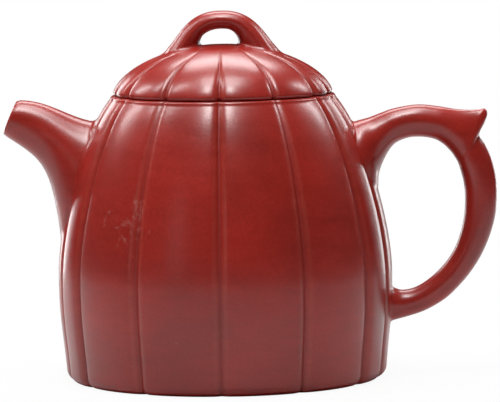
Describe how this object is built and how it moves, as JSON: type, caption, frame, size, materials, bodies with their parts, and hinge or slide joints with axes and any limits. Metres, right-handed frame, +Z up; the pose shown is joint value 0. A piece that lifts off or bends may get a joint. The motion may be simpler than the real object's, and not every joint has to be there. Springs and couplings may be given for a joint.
{
  "type": "ribbed clay teapot",
  "caption": "Bell-shaped ribbed clay teapot with a domed lid, bridge knob, short curved spout, inner strainer and ear-shaped handle with a thumb rest.",
  "frame": {"origin": "centre of the flat base, on the pot's upright axis, on the surface it stands on", "axes": "+Z up, +X towards the handle, -X towards the spout"},
  "size_m": [0.1483, 0.0994, 0.1103],
  "materials": {
    "clay": "unglazed red clay, burnished to a soft satin",
    "clay_inside": "the same clay, smoothed but not burnished",
    "clay_base": "the same clay, matt, with a rubbed standing edge"
  },
  "bodies": {
    "pot": {"body_wall": "clay", "base_disc": "clay_base", "mouth_ring": "clay_inside", "spout": "clay", "strainer": "clay_inside", "handle": "clay"},
    "lid_seat": {"lid_collar": "clay_inside"},
    "lid": {"lid_dome": "clay", "lid_plate": "clay_inside", "lid_knob": "clay"}
  },
  "joints": [
    {"name": "lid_lift", "type": "slide", "parent": "pot", "child": "lid_seat", "axis": [0, 0, 1], "range_m": [0, 0.045]},
    {"name": "lid_turn", "type": "hinge", "parent": "lid_seat", "child": "lid", "pos_m": [0, 0, 0.0852], "axis": [0, 0, 1], "continuous": true}
  ]
}
